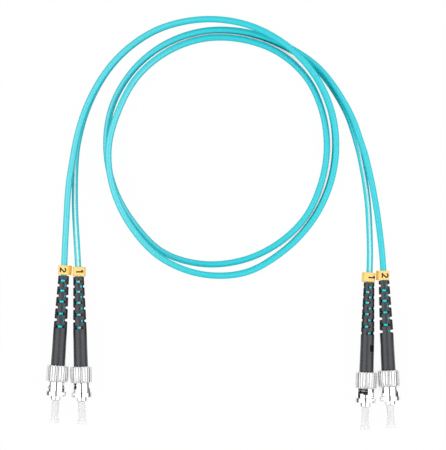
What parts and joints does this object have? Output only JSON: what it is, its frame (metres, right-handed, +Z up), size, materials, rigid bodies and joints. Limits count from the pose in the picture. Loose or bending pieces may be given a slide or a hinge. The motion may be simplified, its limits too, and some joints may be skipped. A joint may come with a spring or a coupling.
{
  "type": "fiber optic patch cord",
  "caption": "Duplex multimode fiber patch cord: joined round cords lying in loose loops, split into legs that end in slotted boots, knurled bayonet coupling nuts and dust caps.",
  "frame": {"origin": "on the table, in the middle of the footprint of the four plugs", "axes": "+X from the plugs of end A to the plugs of end B, +Y from the plugs towards the loops of cord, +Z up"},
  "size_m": [0.1596, 0.1857, 0.012],
  "materials": {
    "jacket": "smooth aqua PVC cord jacket, soft satin",
    "nickel": "bright nickel plate",
    "zirconia": "ground and polished white ceramic",
    "rubber": "moulded black rubber, satin",
    "cap": "translucent white moulded plastic",
    "marker": "amber yellow moulded plastic",
    "spring": "plain spring steel",
    "yarn": "fine yellow aramid yarn",
    "buffer": "smooth white tight buffer"
  },
  "bodies": {
    "root": {"duplex_jacket": "jacket", "leg_jacket_a2": "jacket", "boot_a2": "rubber", "plug_body_a2": "nickel", "retaining_clip_a2": "spring", "ferrule_a2": "zirconia", "coupling_spring_a2": "spring", "crimp_sleeve_a2": "nickel", "aramid_yarn_a2": "yarn", "buffer_lead_a2": "buffer", "leg_jacket_a1": "jacket", "boot_a1": "rubber", "plug_body_a1": "nickel", "retaining_clip_a1": "spring", "ferrule_a1": "zirconia", "coupling_spring_a1": "spring", "crimp_sleeve_a1": "nickel", "aramid_yarn_a1": "yarn", "buffer_lead_a1": "buffer", "leg_jacket_b1": "jacket", "boot_b1": "rubber", "plug_body_b1": "nickel", "retaining_clip_b1": "spring", "ferrule_b1": "zirconia", "coupling_spring_b1": "spring", "crimp_sleeve_b1": "nickel", "aramid_yarn_b1": "yarn", "buffer_lead_b1": "buffer", "leg_jacket_b2": "jacket", "boot_b2": "rubber", "plug_body_b2": "nickel", "retaining_clip_b2": "spring", "ferrule_b2": "zirconia", "coupling_spring_b2": "spring", "crimp_sleeve_b2": "nickel", "aramid_yarn_b2": "yarn", "buffer_lead_b2": "buffer"},
    "washer_a2": {"thrust_washer_a2": "nickel"},
    "nut_a2": {"coupling_nut_a2": "nickel"},
    "cap_a2": {"dust_cap_a2": "cap"},
    "marker_a2": {"id_marker_a2": "marker"},
    "washer_a1": {"thrust_washer_a1": "nickel"},
    "nut_a1": {"coupling_nut_a1": "nickel"},
    "cap_a1": {"dust_cap_a1": "cap"},
    "marker_a1": {"id_marker_a1": "marker"},
    "washer_b1": {"thrust_washer_b1": "nickel"},
    "nut_b1": {"coupling_nut_b1": "nickel"},
    "cap_b1": {"dust_cap_b1": "cap"},
    "marker_b1": {"id_marker_b1": "marker"},
    "washer_b2": {"thrust_washer_b2": "nickel"},
    "nut_b2": {"coupling_nut_b2": "nickel"},
    "cap_b2": {"dust_cap_b2": "cap"},
    "marker_b2": {"id_marker_b2": "marker"}
  },
  "joints": [
    {"name": "washer_slide_a2", "type": "slide", "parent": "root", "child": "washer_a2", "axis": [-0.0649, -0.9979, 0], "range_m": [0, 0.0025], "stiffness_N_per_m": 1500, "springref_m": -0.002, "deforming": ["coupling_spring_a2"]},
    {"name": "nut_turn_a2", "type": "hinge", "parent": "washer_a2", "child": "nut_a2", "pos_m": [-0.07428, -0.00815, 0.0048], "axis": [-0.0649, -0.9979, 0], "continuous": true},
    {"name": "cap_pull_a2", "type": "slide", "parent": "root", "child": "cap_a2", "axis": [-0.0649, -0.9979, 0], "range_m": [0, 0.012]},
    {"name": "marker_slide_a2", "type": "slide", "parent": "root", "child": "marker_a2", "axis": [0.0427, 0.9989, -0.0172], "range_m": [0, 0.0025]},
    {"name": "washer_slide_a1", "type": "slide", "parent": "root", "child": "washer_a1", "axis": [0.0255, -0.9997, 0], "range_m": [0, 0.0025], "stiffness_N_per_m": 1500, "springref_m": -0.002, "deforming": ["coupling_spring_a1"]},
    {"name": "nut_turn_a1", "type": "hinge", "parent": "washer_a1", "child": "nut_a1", "pos_m": [-0.06396, -0.00869, 0.0048], "axis": [0.0255, -0.9997, 0], "continuous": true},
    {"name": "cap_pull_a1", "type": "slide", "parent": "root", "child": "cap_a1", "axis": [0.0255, -0.9997, 0], "range_m": [0, 0.012]},
    {"name": "marker_slide_a1", "type": "slide", "parent": "root", "child": "marker_a1", "axis": [-0.0516, 0.9972, -0.0538], "range_m": [0, 0.0025]},
    {"name": "washer_slide_b1", "type": "slide", "parent": "root", "child": "washer_b1", "axis": [-0.03, -0.9995, 0], "range_m": [0, 0.0025], "stiffness_N_per_m": 1500, "springref_m": -0.002, "deforming": ["coupling_spring_b1"]},
    {"name": "nut_turn_b1", "type": "hinge", "parent": "washer_b1", "child": "nut_b1", "pos_m": [0.06455, -0.0112, 0.0048], "axis": [-0.03, -0.9995, 0], "continuous": true},
    {"name": "cap_pull_b1", "type": "slide", "parent": "root", "child": "cap_b1", "axis": [-0.03, -0.9995, 0], "range_m": [0, 0.012]},
    {"name": "marker_slide_b1", "type": "slide", "parent": "root", "child": "marker_b1", "axis": [0.0328, 0.9986, -0.0421], "range_m": [0, 0.0025]},
    {"name": "washer_slide_b2", "type": "slide", "parent": "root", "child": "washer_b2", "axis": [0.0501, -0.9987, 0], "range_m": [0, 0.0025], "stiffness_N_per_m": 1500, "springref_m": -0.002, "deforming": ["coupling_spring_b2"]},
    {"name": "nut_turn_b2", "type": "hinge", "parent": "washer_b2", "child": "nut_b2", "pos_m": [0.07445, -0.01035, 0.0048], "axis": [0.0501, -0.9987, 0], "continuous": true},
    {"name": "cap_pull_b2", "type": "slide", "parent": "root", "child": "cap_b2", "axis": [0.0501, -0.9987, 0], "range_m": [0, 0.012]},
    {"name": "marker_slide_b2", "type": "slide", "parent": "root", "child": "marker_b2", "axis": [-0.0634, 0.9978, -0.0181], "range_m": [0, 0.0025]}
  ]
}
